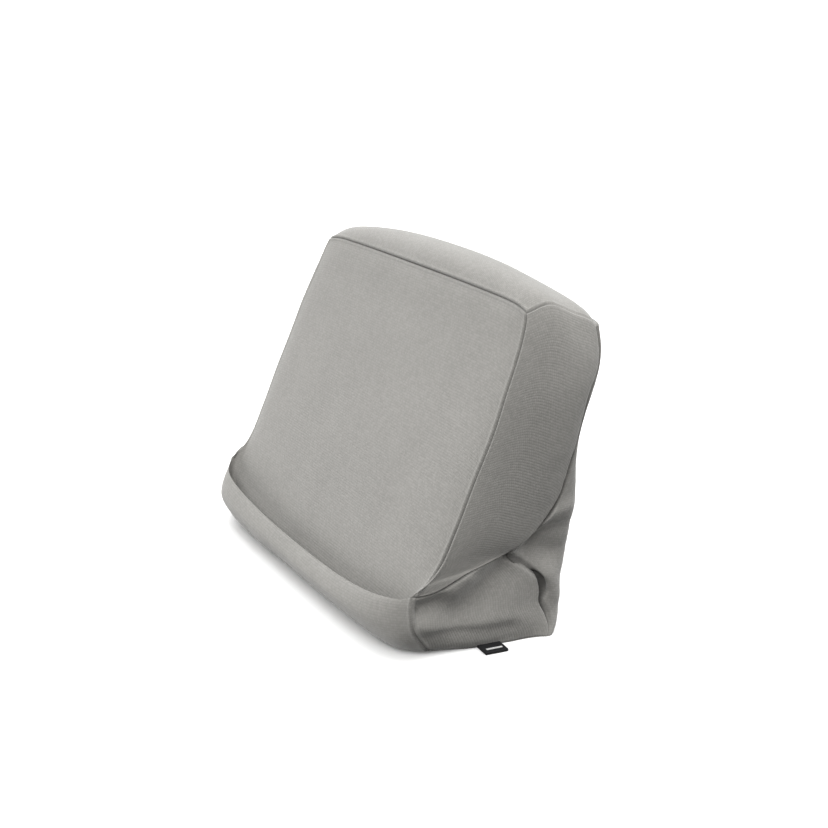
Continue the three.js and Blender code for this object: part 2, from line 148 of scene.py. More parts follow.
# Rear panel, from the rear seam to the ground. It wraps round both sides below the boxing, and
# square says how square its corner is in plan.
RearRow = namedtuple("RearRow", "mid end square steps")
REAR_ROWS = {
    "rear seam": RearRow((70.3, 173), (125, 66, 168.6), 6, 2),
    "back 1": RearRow((71.2, 160), (127, 66.3, 156), 6, 3),
    "back 2": RearRow((69, 146), (129, 63.8, 146), 6, 3),
    "back 3": RearRow((65, 132), (131, 58, 135.5), 6, 3),
    "waist": RearRow((58, 116), (131.3, 52.2, 115.5), 5, 3),
    "belly 1": RearRow((58.8, 98), (131.3, 47.4, 98), 4.5, 2),
    "belly 2": RearRow((62.2, 82), (131.3, 42.4, 80), 4.5, 2),
    "belly 3": RearRow((64.2, 70), (131.5, 34.6, 69), 4.8, 1),
    "belly 4": RearRow((61.6, 61), (131.5, 25.6, 59.6), 5.6, 1),
    "belly 5": RearRow((60.8, 54.5), (131.3, 17.9, 54.8), 6.4, 1),
    "junction": RearRow((60.4, 49), (131, 10.7, 51.9), 6.8, 1),
    "low back 1": RearRow((59.4, 43), (130.2, 17.8, 46), 6.3, 2),
    "low back 2": RearRow((58.2, 34.5), (129.6, 26.9, 39.4), 5.2, 1),
    "low back 3": RearRow((56, 28.5), (129.4, 31.9, 34.5), 4.6, 1),
    "low back 4": RearRow((54.4, 22.5), (129, 34.6, 26), 4.4, 2),
    "low back 5": RearRow((54.6, 16), (129.4, 33.6, 19.2), 4.2, 2),
    "low back 6": RearRow((53, 9.5), (130.8, 36.2, 12), 4, 2),
    "low back 7": RearRow((48, 3.5), (133, 37, 5), 4, 1),
    "base edge": RearRow((43, 0), (134.6, 35.2, 0), 4, 0),
}

# Share of the slow fall in the height of the rear panel's lines
REAR_SOFT = 0.3

# Lower seam of the side boxing, from the lip's corner back to the junction of three seams (x, y, z)
LOWER_SEAM = [
    (131.1, -45.8, 37.8),
    (132.2, -39.3, 37.4),
    (133.6, -31.4, 39.2),
    (134.8, -22.1, 43.8),
    (135, -13.9, 47.3),
    (133.8, -1.4, 50.2),
    (131, 10.7, 51.9),
]

# Steps along it. With the rear panel's steps down to the junction they are as many as the front has.
LOWER_STEPS = 13

# Foot of the base's side panel, on the ground (x, y, z)
SIDE_FOOT = [
    (121, -30.8, 0),
    (124.8, -20.5, 0),
    (128.4, -9.5, 0),
    (130, 3, 0),
    (131, 14, 0),
    (131.4, 24, 0),
    (133, 31, 0),
    (134.6, 35.2, 0),
]

# Folds: soft ridges (height over 0) and troughs (under 0) along a line, in a panel where it faces one
# way. The line is seen from that way: (y, z) for the right and the left, (x, z) for the front.
# width is how wide the fold is above its line and below it.
Fold = namedtuple("Fold", "panel faces start end height width")
FACING = {"right": (1, 0), "left": (-1, 0), "front": (0, -1)}
FOLDS = [
    Fold("base side", "right", (-43, 30), (-31, 32.5), -3.6, (4.5, 7)),
    Fold("base side", "right", (-26, 36), (-14, 42.5), 1.2, (3, 5)),
    Fold("base side", "right", (-19, 24.5), (8, 43), -5.2, (8.5, 14)),
    Fold("base side", "right", (-38, 12.5), (12, 9.5), -1.8, (3.5, 9)),
    Fold("base side", "left", (-40, 34), (-18, 39.5), -3.4, (4.4, 4.4)),
    Fold("base side", "left", (-20, 28), (8, 36), -4.6, (8, 8)),
    Fold("rear", "right", (33, 68), (48, 72), 1.6, (4, 3)),
    Fold("rear", "right", (26, 60), (44, 61), -2.5, (4, 6)),
    Fold("rear", "right", (26, 51), (38, 49), -4.2, (8, 8)),
    Fold("rear", "right", (37, 34), (43, 20), 2.2, (6, 6)),
    Fold("rear", "left", (34, 70), (54, 78), 1.8, (6, 6)),
    Fold("rear", "left", (26, 54), (50, 57), -3, (8, 8)),
    Fold("front", "front", (-88, 9), (-45, 6), 1.2, (12, 12)),
]

# Seams, at a place along each: how deep the stitch line is drawn in and how wide its groove is, how
# high the cloth rolls beside it and how far out, and how much shade is painted into the groove. Places
# are steps along the seam, or shares of the half width for the two seams that run across.
Look = namedtuple("Look", "place sink groove roll reach shade")
SEAMS = {
    "front top": [Look(0, 1.3, 0.55, 0.5, 1.2, 0.9), Look(1, 1.0, 0.5, 0.5, 1.2, 0.9)],
    "front side": [
        Look(0, 1.3, 0.5, 0.75, 1.2, 1),
        Look(14, 1.3, 0.5, 0.55, 1.2, 1),
        Look(30, 1.2, 0.5, 0.5, 1.2, 0.9),
        Look(34, 0.8, 0.5, 0.4, 1.2, 0.8),
    ],
    "lip end": [
        Look(0, 0.9, 0.8, 0.6, 1.3, 0.6),
        Look(1, 0.3, 0.8, 0.7, 1.3, 0.1),
        Look(6, 0.2, 0.8, 0.7, 1.3, 0.1),
        Look(9, 0.9, 0.8, 0.5, 1.3, 0.7),
        Look(12, 1, 0.8, 0.5, 1.3, 0.8),
    ],
    "corner": [
        Look(0, 0.8, 0.8, 0.4, 1.3, 0.8),
        Look(3, 0.8, 0.8, 0.4, 1.3, 0.6),
        Look(5, 0.3, 1.2, 0.2, 1.6, 0.1),
        Look(9, 0.2, 1.2, 0.1, 1.6, 0),
        Look(10, 0, 1.2, 0, 1.6, 0),
    ],
    "rear top": [
        Look(0, 1.1, 0.9, 0.4, 1.4, 0.7),
        Look(0.85, 0.7, 0.9, 0.3, 1.4, 0.5),
        Look(1, 0, 1.2, 0, 1.4, 0),
    ],
    "rear side": [
        Look(13, 1.8, 1.3, 0.5, 2, 0.6),
        Look(20, 1.6, 1.3, 0.5, 2, 0.6),
        Look(31, 1, 1.1, 0.3, 1.6, 0.4),
        Look(34, 0, 1.2, 0, 1.6, 0),
    ],
    "lower": [
        Look(0, 1, 0.8, 0.5, 1.3, 0.8),
        Look(3, 1.4, 1.1, 0.3, 1.6, 0.3),
        Look(13, 1.6, 1.3, 0.3, 1.8, 0.4),
    ],
    "rear base": [
        Look(0, 4.5, 2.4, 0, 3, 1),
        Look(4, 3.8, 2.1, 0.2, 2.8, 1),
        Look(8, 2.4, 1.6, 0.4, 2.2, 1),
        Look(12, 0.6, 1.2, 0.1, 1.6, 0.3),
    ],
    "foot": [Look(0, 0.3, 0.8, 0.1, 1.3, 0.3)],
}

# Distance from a seam within which the roll of cloth beside it is held down, and a fold
SEAM_HOLD = 0.8
FOLD_HOLD = 1.3

# Shade painted into a seam's groove, as a dark line: how wide it is, and how much wider for each
# millimetre that the seam is drawn in past a depth
SEAM_SHADE_WIDTH = 0.42
CREVICE_SHADE_GROWTH = 0.55
CREVICE_START = 1.8

# Small puckers of the roll of cloth along a seam, as a share of its height
STITCH_PITCH = 3.0
STITCH_PUCKER = 0.16


def row_places(rows, steps):
    """Row places such as 2.5 for numbers of steps from the first row."""
    reach = np.cumsum([0] + [row.steps for row in list(rows.values())[:-1]])
    return np.interp(steps, reach, np.arange(len(reach)))


def steps_to(rows, name):
    """Steps from the first row to the named one."""
    names = list(rows)
    return sum(rows[n].steps for n in names[: names.index(name)])


def curve(points, places):
    """Points of a centripetal Catmull-Rom curve at places such as 2.5."""
    p = np.asarray(points, float)
    p = np.vstack([2 * p[0] - p[1], p, 2 * p[-1] - p[-2]])
    k = np.clip(np.floor(places).astype(int), 0, len(p) - 4)
    a, b, c, d = p[k], p[k + 1], p[k + 2], p[k + 3]
    knot = [np.sqrt(np.linalg.norm(r - q, axis=1))[:, None] for q, r in ((a, b), (b, c), (c, d))]
    t1, t2, t3 = knot[0], knot[0] + knot[1], knot[0] + knot[1] + knot[2]
    t = t1 + (t2 - t1) * (places - k)[:, None]

    def mix(q, r, start, stop):
        return (q * (stop - t) + r * (t - start)) / (stop - start)

    left = mix(mix(a, b, 0, t1), mix(b, c, t1, t2), 0, t2)
    right = mix(mix(b, c, t1, t2), mix(c, d, t2, t3), t1, t3)
    return mix(left, right, t1, t2)


def lengths(points, axis=0):
    """Length along a line of points, or along the lines of a grid, from its first point."""
    step = np.linalg.norm(np.diff(points, axis=axis), axis=-1)
    zero = np.zeros_like(np.take(step, [0], axis=axis))
    return np.cumsum(np.concatenate([zero, step], axis=axis), axis=axis)


def shares_along(points):
    """Shares of a line's length at its points."""
    reach = lengths(points)
    return reach / reach[-1]


def resampled(points, shares):
    """Points at shares of a line's length."""
    reach = lengths(points)
    return np.stack([np.interp(shares * reach[-1], reach, axis) for axis in points.T], axis=1)


def fall(shares, soft, turn=QUICK_FALL):
    """How far a line across has fallen to its end, at shares of the half width."""
    t = np.abs(shares)
    return soft * t**SLOW_FALL + (1 - soft) * t**turn


def lines_between(start, stop, step, step_size, dense_start, dense_stop):
    """Line places from start to stop, with the seam ladder at the ends that are seams."""
    ladder = np.array(SEAM_LADDER) / step_size
    low = np.concatenate([[start], start + ladder]) if dense_start else np.array([start])
    high = np.concatenate([stop - ladder[::-1], [stop]]) if dense_stop else np.array([stop])
    count = max(2, round((high[0] - low[-1]) / step))
    return np.concatenate([low, np.linspace(low[-1], high[0], count + 1)[1:-1], high])


class Lines:
    """Where the lines of the cloth's grid run: across the width, up the sides, down the base and
    over the boxing, as steps of the rows."""

    def __init__(self):
        front_top = steps_to(FRONT_ROWS, "lip corner")
        rear_top = steps_to(REAR_ROWS, "junction")
        base = steps_to(FRONT_ROWS, "base edge") - front_top
        over = steps_to(TOP_ROWS, "rear seam")
        half = lines_between(0, HALF_WIDTH, WIDTH_STEP, 1, False, True) / HALF_WIDTH
        low = lines_between(0, LOWER_STEPS, ROW_STEP, SIDE_STEP_SIZE, True, True)
        high = lines_between(LOWER_STEPS, front_top, ROW_STEP, SIDE_STEP_SIZE, False, True)
        self.base = lines_between(0, base, ROW_STEP, BASE_STEP_SIZE, True, True)
        self.boxing = lines_between(0, over, ROW_STEP, BOXING_STEP_SIZE, True, True)
        self.width = np.concatenate([-half[:0:-1], half])
        self.low, self.high = low, high
        self.side = np.concatenate([low, high[1:]])
        self.front = np.concatenate([(front_top - self.side)[::-1], front_top + self.base[1:]])
        rear_side = rear_top - (high - LOWER_STEPS)
        self.rear = np.concatenate([rear_side[::-1], rear_top + self.base[1:]])
        self.front_corner = len(self.side) - 1
        self.rear_corner = len(high) - 1


def row_panel(rows, places, shares):
    """A panel as a grid of points, from rows of lines across the pillow."""
    table = list(rows.values())
    mids = curve([(0, *row.mid) for row in table], places)
    ends = curve([row.end for row in table], places)

    def column(values):
        return np.interp(places, np.arange(len(table)), values)[:, None]

    soft = column([row.soft for row in table])
    rise = column([row.soft if row.rise is None else row.rise for row in table])
    left, right = column([row.turn[0] for row in table]), column([row.turn[1] for row in table])
    back = fall(shares[None], soft, np.where(shares[None] < 0, left, right))
    up = fall(shares[None], rise)
    grid = mids[:, None] + (ends - mids)[:, None] * np.stack([0 * back, back, up], axis=-1)
    grid[..., 0] = ends[:, None, 0] * shares[None, :]
    return grid


def wrap_panel(rows, places, shares):
    """The rear panel: each line runs across the back and round a square-ish corner to the seam."""
    table = list(rows.values())
    mids = curve([(0, *row.mid) for row in table], places)
    ends = curve([row.end for row in table], places)
    squares = np.interp(places, np.arange(len(table)), [row.square for row in table])
    angle = np.linspace(0, math.pi / 2, CORNER_STEPS)
    depth_of = np.append(np.cos(angle[:-1]), 0)
    right = shares[len(shares) // 2 :]
    grid = []
    for mid, end, square in zip(mids, ends, squares):
        share = depth_of ** (2 / square)
        across = end[0] * np.sin(angle) ** (2 / square)
        depth = end[1] + (mid[1] - end[1]) * share
        line = resampled(np.stack([across, depth, 0 * angle], axis=1), right)
        line[:, 2] = mid[2] + (end[2] - mid[2]) * fall(right, REAR_SOFT)
        line[0, 0] = 0
        grid.append(np.vstack([line[:0:-1] * (-1, 1, 1), line]))
    return np.array(grid)


def crown_share(v):
    """How full a crown stands between two seams, 0 on both and 1 in the middle."""
    return np.sqrt(np.clip(4 * v * (1 - v), 0, 1))


def lopsided_share(v, power):
    """The same for a crown that falls to its second seam with a power of its own."""
    peak = 0.5 / (0.5 + power)
    return np.sqrt(v / peak) * ((1 - v) / (1 - peak)) ** power


def knee_share(v, place, sharpness):
    """How far a bent panel stands out between two seams: slowly, then faster up to the place of its
    knee, and straight down from it."""
    rise = np.maximum(v / place, LEAST_SHARE) ** (-sharpness * KNEE_START)
    drop = np.maximum((1 - v) / (1 - place), LEAST_SHARE) ** -sharpness
    return (rise + drop) ** (-1 / sharpness)


def mixed(pair, share):
    """A value between the two of a pair."""
    return pair[0] + (pair[1] - pair[0]) * share


def eased(x):
    """From 0 to 1, level at 1."""
    return np.sin(np.clip(x, 0, 1) * math.pi / 2)


def boxing_panel(front_seam, back_seam, corner_seam):
    """The right side boxing, between seams that meet at the lip's corner."""
    along = shares_along(front_seam)[:, None, None]
    across = shares_along(corner_seam)[None, :, None]
    grid = front_seam[:, None] * (1 - across) + back_seam[:, None] * across
    chord = corner_seam[0] * (1 - across[0]) + corner_seam[-1] * across[0]
    grid = grid + (corner_seam - chord)[None] * along**CORNER_REACH
    power = mixed(BOXING_FALL, eased((along - BOXING_FLAT_END) / BOXING_TURN) ** 2)
    crown = mixed((BOXING_CROWN_AT_TIP, BOXING_CROWN), eased(along / CROWN_GROWTH))
    rounding = eased(along / TIP_GROWTH) * np.sqrt(np.clip(1 - along**TOP_SQUARENESS, 0, 1))
    grid[..., 0] += (crown * lopsided_share(across, power) * rounding)[..., 0]
    grid[:, 0], grid[:, -1], grid[-1] = front_seam, back_seam, corner_seam
    return grid


def edge_patch(upper, lower, front, rear):
    """A patch between four edges: upper and lower run along, front and rear run down."""
    u = shares_along(upper)[None, :, None]
    v = shares_along(front)[:, None, None]
    down = upper[None] * (1 - v) + lower[None] * v
    over = front[:, None] * (1 - u) + rear[:, None] * u
    top, foot = (edge[0] * (1 - u) + edge[-1] * u for edge in (upper, lower))
    grid = down + over - (top * (1 - v) + foot * v)
    grid[0], grid[-1], grid[:, 0], grid[:, -1] = upper, lower, front, rear
    return grid


def base_side_panel(upper, lower, front, rear):
    """The right side of the base: a patch that stands out to its knee."""
    u = shares_along(upper)[None, :]
    v = shares_along(front)[:, None]
    grid = edge_patch(upper, lower, front, rear)
    crown = mixed((BASE_SIDE_CROWN, BASE_SIDE_CROWN_AT_REAR), u) * crown_share(u) ** SIDE_EVENNESS
    grid[..., 0] += crown * knee_share(v, mixed(KNEE_PLACE, u), mixed(KNEE_SHARPNESS, u))
    return grid


def mirrored(grid):
    """The same on the left."""
    return grid * (-1, 1, 1)


def looks(name, places):
    """A seam's sizes at places along it, one row of five for each place."""
    table = np.array(SEAMS[name], float)
    return np.stack([np.interp(places, table[:, 0], column) for column in table[:, 1:].T], axis=1)


def side_seam(points, lines):
    """A seam that runs back along the side, from points that it passes through."""
    fine = np.linspace(0, len(points) - 1, CURVE_STEPS)
    return resampled(curve(points, fine), lines.low / LOWER_STEPS)


def panel_grids(lines):
    """The panels as grids of points, edge to edge, with the side panels of the right."""
    front = row_panel(FRONT_ROWS, row_places(FRONT_ROWS, lines.front), lines.width)
    top = row_panel(TOP_ROWS, row_places(TOP_ROWS, lines.boxing), lines.width)
    rear = wrap_panel(REAR_ROWS, row_places(REAR_ROWS, lines.rear), lines.width)
    top[0], top[-1] = front[0], rear[0]
    front_side, rear_side = front[:, -1], rear[:, -1]
    front_corner, rear_corner = lines.front_corner, lines.rear_corner
    lower, foot = side_seam(LOWER_SEAM, lines), side_seam(SIDE_FOOT, lines)
    lower[0], lower[-1] = front_side[front_corner], rear_side[rear_corner]
    foot[0], foot[-1] = front_side[-1], rear_side[-1]
    back_seam = np.vstack([lower, rear_side[:rear_corner][::-1]])
    boxing = boxing_panel(front_side[front_corner::-1], back_seam, top[:, -1])
    base = base_side_panel(lower, foot, front_side[front_corner:], rear_side[rear_corner:])
    bottom = edge_patch(front[-1], rear[-1], mirrored(foot), foot)
    return front, top, rear, boxing, base, bottom


# A patch is a grid of points, and flip turns its faces round. seams are the looks of its first row, last
# row, first column and last column. ribs is the grid axis that the cloth's ribs follow. Each chart is a
# first row and the row from which the cloth is measured there.
Patch = namedtuple("Patch", "name grid flip seams ribs charts")


def panels_of(lines):
    """All panels of the cover, with the looks of their seams."""
    front, top, rear, boxing, base, bottom = panel_grids(lines)
    share = np.abs(lines.width)
    front_top, rear_top = looks("front top", share), looks("rear top", share)
    front_edge, lip_end = looks("front side", lines.side), looks("lip end", lines.base)
    rear_edge, rear_base = looks("rear side", lines.high), looks("rear base", lines.base)
    lower_edge, corner_edge = looks("lower", lines.low), looks("corner", lines.boxing)
    foot_edge, foot_run = looks("foot", lines.low), looks("foot", share)
    front_run = np.vstack([front_edge[::-1], lip_end[1:]])
    rear_run = np.vstack([rear_edge[::-1], rear_base[1:]])
    back_run = np.vstack([lower_edge, rear_edge[1:]])
    tip = 0 * corner_edge
    boxing_seams = (tip, corner_edge, front_edge, back_run)
    base_seams = (lower_edge, foot_edge, lip_end, rear_base)
    crease = np.searchsorted(lines.front, steps_to(FRONT_ROWS, "crease front"))
    lip = np.searchsorted(lines.front, steps_to(FRONT_ROWS, "lip edge"))
    by_first, by_middle, by_last = [(0, 0)], [(0, len(top) // 2)], [(0, len(boxing) - 1)]
    by_lip = by_first + [(crease, lip)]
    return [
        Patch("front", front, False, (front_top, foot_run, front_run, front_run), 0, by_lip),
        Patch("top", top, True, (front_top, rear_top, corner_edge, corner_edge), 1, by_middle),
        Patch("rear", rear, True, (rear_top, foot_run, rear_run, rear_run), 0, by_first),
        Patch("boxing", boxing, True, boxing_seams, 0, by_last),
        Patch("boxing", mirrored(boxing), False, boxing_seams, 0, by_last),
        Patch("base side", base, False, base_seams, 1, by_first),
        Patch("base side", mirrored(base), True, base_seams, 1, by_first),
        Patch("bottom", bottom, False, (foot_run, foot_run, foot_edge, foot_edge), 0, by_first),
    ]


def edge_distances(grid):
    """Distances of a grid's points from its first row, last row, first column and last column."""
    down, over = lengths(grid, 0), lengths(grid, 1)
    return np.stack([down, down[-1:] - down, over, over[:, -1:] - over])


def seam_fields(patch):
    """Distance from the nearest seam, how far the seams draw the cloth in, how far they push it out,
    and how much shade is painted at them."""
    away = edge_distances(patch.grid)
    down, over = away[0], away[2]
    along = np.stack([over, over, down, down])
    shape = patch.grid.shape[:2] + (len(Look._fields) - 1,)
    rows = [np.broadcast_to(edge[None], shape) for edge in patch.seams[:2]]
    columns = [np.broadcast_to(edge[:, None], shape) for edge in patch.seams[2:]]
    sink, groove, roll, reach, painted_shade = np.moveaxis(np.stack(rows + columns), -1, 0)
    sewn = groove > 0
    away = np.where(sewn, away, FAR_AWAY)
    groove, reach = np.where(sewn, groove, 1), np.where(sewn, reach, 1)
    pucker = 1 + STITCH_PUCKER * np.cos(2 * math.pi * along / STITCH_PITCH)
    drawn = sink * np.exp(-((away / groove) ** 2))
    raised = roll * (away / reach) ** 2 * np.exp(1 - (away / reach) ** 2) * pucker
    hold = (1 - np.exp(-((away / SEAM_HOLD) ** 2))).min(axis=0)
    # Painted shade in the groove: wider where the seam is drawn in deeper
    line = SEAM_SHADE_WIDTH + CREVICE_SHADE_GROWTH * np.maximum(sink - CREVICE_START, 0)
    painted_seam_shade = painted_shade * np.exp(-((away / line) ** 2))
    return away.min(axis=0), drawn.max(axis=0), raised.max(axis=0) * hold, painted_seam_shade.max(axis=0)


def cloth_places(patch, anchor):
    """Place in the flat cloth, in millimetres: along the ribs and across them."""
    middle = patch.grid.shape[1] // 2
    over = lengths(patch.grid, 1)
    over = over - over[:, middle : middle + 1]
    down = lengths(patch.grid, 0)
    down = down - down[anchor : anchor + 1]
    return np.stack([over, down] if patch.ribs == 0 else [down, over], axis=-1)


class Cover:
    """The closed cover: its points, faces, seam fields and cloth places."""

    def __init__(self, panels):
        self.panels = panels
        points = np.concatenate([p.grid.reshape(-1, 3) for p in panels])
        rounded = np.round(points * WELD_PARTS).astype(np.int64)
        _, first, index = np.unique(rounded, axis=0, return_index=True, return_inverse=True)
        self.index = index.ravel()
        self.points = points[first]
        self.faces, self.places = [], []
        self.away = np.full(len(first), FAR_AWAY)
        self.drawn, self.raised, self.painted_seam_shade = np.zeros((3, len(first)))
        start = 0
        for panel in panels:
            rows, columns = panel.grid.shape[:2]
            ids = self.index[start : start + rows * columns].reshape(rows, columns)
            stops = [row for row, _ in panel.charts[1:]] + [rows - 1]
            for (row, anchor), stop in zip(panel.charts, stops):
                self.add_faces(ids, cloth_places(panel, anchor), panel.flip, row, stop)
            away, drawn, raised, painted_seam_shade = (field.ravel() for field in seam_fields(panel))
            flat = ids.ravel()
            np.minimum.at(self.away, flat, away)
            np.maximum.at(self.drawn, flat, drawn)
            np.maximum.at(self.raised, flat, raised)
            np.maximum.at(self.painted_seam_shade, flat, painted_seam_shade)
            start += rows * columns

    def add_faces(self, ids, local, flip, row, stop):
        """Four-sided faces of one chart, and three-sided ones where its lines meet in a point."""
        corners = [(0, 0), (0, 1), (1, 1), (1, 0)]
        if not flip:
            corners = corners[::-1]
        for i in range(row, stop):
            for j in range(ids.shape[1] - 1):
                face, place = [], []
                for a, b in corners:
                    point = ids[i + a, j + b]
                    if point not in face:
                        face.append(point)
                        place.append(local[i + a, j + b])
                if len(face) > 2:
                    self.faces.append(face)
                    self.places.extend(place)


def vertex_normals(points, faces):
    """Outward directions at the points of a closed mesh."""
    triangles = np.array([(f[0], f[k], f[k + 1]) for f in faces for k in range(1, len(f) - 1)])
    a, b, c = (points[triangles[:, k]] for k in range(3))
    weight = np.cross(b - a, c - a)
    normals = np.zeros_like(points)
    for k in range(3):
        np.add.at(normals, triangles[:, k], weight)
    return normals / np.linalg.norm(normals, axis=1, keepdims=True)


def fold_share(points, normals, fold):
    """How much of a fold is left at each point, by its distance from the fold's line."""
    facing = FACING[fold.faces]
    axes = [1, 2] if facing[0] else [0, 2]
    start, end = np.array(fold.start), np.array(fold.end)
    line = end - start
    share = np.clip(((points[:, axes] - start) @ line) / (line @ line), 0, 1)
    gap = points[:, axes] - (start + share[:, None] * line)
    distance = np.sqrt((gap**2).sum(axis=1))
    # 1 straight above the line, and 0 straight below it
    above = 0.5 + gap[:, 1] / 2 / np.maximum(distance, LEAST_DISTANCE)
    width = mixed(fold.width[::-1], above)
    faced = np.clip(normals[:, :2] @ np.array(facing), 0, 1) ** 0.5
    return faced * np.exp(-((distance / width) ** 2))


def folded(cover):
    """The cover's points moved outwards or inwards at its folds, still on its seams."""
    normals = vertex_normals(cover.points, cover.faces)
    points = cover.points.copy()
    start = 0
    for panel in cover.panels:
        size = panel.grid.shape[0] * panel.grid.shape[1]
        ids = np.unique(cover.index[start : start + size])
        start += size
        place, normal = cover.points[ids], normals[ids]
        hold = 1 - np.exp(-((cover.away[ids] / FOLD_HOLD) ** 2))
        for fold in FOLDS:
            if fold.panel == panel.name:
                moved = fold.height * fold_share(place, normal, fold) * hold
                points[ids] += normal * moved[:, None]
    points[:, 2] = np.maximum(points[:, 2], 0)
    return points


def seamed(cover, points):
    """The points drawn in at the seams, with a roll of cloth beside each and small puckers. What lies
    on the table stays on it."""
    normals = vertex_normals(points, cover.faces)
    out = points + normals * (cover.raised - cover.drawn)[:, None]
    out[:, 2] = np.maximum(out[:, 2], 0)
    out[points[:, 2] <= 0, 2] = 0
    return out


def add_object(name, data):
    """A new object in the scene."""
    made = bpy.data.objects.new(name, data)
    bpy.context.scene.collection.objects.link(made)
    return made


def make_piece(name, points, faces, places, material):
    """A smooth piece of the object, from points in millimetres, with its cloth's places as a UV map."""
    mesh = bpy.data.meshes.new(name)
    mesh.from_pydata((points * MM).tolist(), [], faces)
    mesh.shade_smooth()
    layer = mesh.uv_layers.new(name="cloth")
    layer.uv.foreach_set("vector", np.array(places, np.float32).ravel())
    mesh.validate()
    mesh.materials.append(material)
    return add_object(name, mesh)


def add_field(piece, name, values):
    """A value at each point of the mesh, for its material."""
    field = piece.data.attributes.new(name, "FLOAT", "POINT")
    field.data.foreach_set("value", values.astype(np.float32))


# Strength of every relief, and how fine the noises are: those of tone, and the one that sways lines
RELIEF_STRENGTH = 0.6
TONE_DETAIL = 3.0
SWAY_DETAIL = 2.0


class Shader:
    """A material's node tree, with short calls for its nodes."""

    def __init__(self, name):
        self.material = bpy.data.materials.new(name)
        self.material.use_nodes = True
        self.tree = self.material.node_tree
        self.surface = self.tree.nodes["Principled BSDF"]

    def node(self, kind, inputs=(), **settings):
        """A new node with its settings, and with what goes into its inputs, by name or number."""
        made = self.tree.nodes.new("ShaderNode" + kind)
        for key, value in settings.items():
            setattr(made, key, value)
        for key, value in dict(inputs).items():
            self.put(value, made.inputs[key])
        return made

    def put(self, value, socket):
        """Puts a plain value, or another node's output, into an input."""
        if isinstance(value, bpy.types.NodeSocket):
            self.tree.links.new(value, socket)
        else:
            socket.default_value = value

    def finish(self, inputs):
        """Puts what is given into the surface's inputs, by name, and returns the material."""
        for name, value in inputs.items():
            self.put(value, self.surface.inputs[name])
        return self.material

    def math(self, operation, *values):
        """Arithmetic on plain values and other nodes' outputs."""
        return self.node("Math", dict(enumerate(values)), operation=operation).outputs[0]

    def mix(self, share, low, high):
        """A value between two plain numbers, at a share of the way."""
        return self.math("MULTIPLY_ADD", share, high - low, low)

    def weighed(self, *parts):
        """Values added up, each times its weight."""
        total = 0.0
        for value, weight in parts:
            total = self.math("MULTIPLY_ADD", value, weight, total)
        return total

    def wave(self, place):
        """Round ridges, one for each step of a place, from 0 between them to 1."""
        return self.math("ABSOLUTE", self.math("SINE", self.math("MULTIPLY", place, math.pi)))

    def band(self, place, middle, width):
        """1 in a band of this width about its middle, and 0 beside it."""
        away = self.math("ABSOLUTE", self.math("SUBTRACT", place, middle))
        return self.math("LESS_THAN", away, width / 2)

    def tint(self, share, low, high):
        """A colour between two, at a share of the way."""
        made = self.node("Mix", {0: share, 6: low, 7: high}, data_type="RGBA")
        return made.outputs[2]

    def noise(self, place, scale, detail):
        """Soft noise from 0 to 1."""
        inputs = {"Vector": place, "Scale": scale, "Detail": detail}
        return self.node("TexNoise", inputs).outputs["Fac"]

    def bump(self, height, distance):
        """The surface's direction, bent by a height whose full size is a distance in metres."""
        inputs = {"Height": height, "Strength": RELIEF_STRENGTH, "Distance": distance}
        return self.node("Bump", inputs).outputs[0]

    def places(self):
        """The places along and across the flat cloth, in millimetres, and in the object, in metres."""
        split = self.node("SeparateXYZ", {0: self.node("UVMap", uv_map="cloth").outputs["UV"]})
        return split.outputs[0], split.outputs[1], self.node("TexCoord").outputs["Object"]


# Weave of the cloth: thick ribs, crossed by finer picks that move on by half a pick from rib to rib.
# A noise sways its lines. A rib's top is broad, and it dips to a share of its height between two picks.
RIB_PITCH = 1.5
PICK_PITCH = 1.2
PICK_SHIFT = 0.5
SWAY = 0.9
RIB_BREADTH = 0.6
PICK_DIP = 0.45

# Noises of the cloth, in waves to the metre
SWAY_SCALE = 90.0
CLOUD_SCALE = 22.0
FUZZ_SCALE = 2600.0

# Tone of the cloth, from dark to light: shares of the weave's height, of each knot's own tone, of soft
# clouds and of the fuzz. At a seam, shade is painted in: a near-black colour, mixed in at a share.
CLOTH_DARK = (0.165, 0.161, 0.150, 1)
CLOTH_LIGHT = (0.300, 0.292, 0.274, 1)
WEAVE_TONE = 0.24
KNOT_TONE = 0.24
CLOUD_TONE = 0.35
FUZZ_TONE = 0.25
PAINTED_SEAM_SHADE = (0.045, 0.044, 0.041, 1)
PAINTED_SHADE_SHARE = 0.8

# Relief of the cloth in metres, and the share that the fuzz adds to it
CLOTH_RELIEF = 0.00016
FUZZ_RELIEF = 0.35


def ribbed_weave(cloth, along, across, body):
    """How high the weave stands, from 0 to 1, and a tone of its own for each knot."""
    sway = cloth.math("MULTIPLY", cloth.noise(body, SWAY_SCALE, SWAY_DETAIL), SWAY)
    rib = cloth.math("DIVIDE", cloth.math("ADD", across, sway), RIB_PITCH)
    row = cloth.math("FLOOR", rib)
    shift = cloth.math("MULTIPLY", row, PICK_SHIFT)
    pick = cloth.math("ADD", cloth.math("DIVIDE", cloth.math("ADD", along, sway), PICK_PITCH), shift)
    rib_top = cloth.math("POWER", cloth.wave(rib), RIB_BREADTH)
    height = cloth.math("MULTIPLY", rib_top, cloth.mix(cloth.wave(pick), PICK_DIP, 1.0))
    cell = cloth.node("CombineXYZ", {0: cloth.math("FLOOR", pick), 1: row})
    knot = cloth.node("TexWhiteNoise", {"Vector": cell.outputs[0]}, noise_dimensions="2D")
    return height, knot.outputs["Value"]


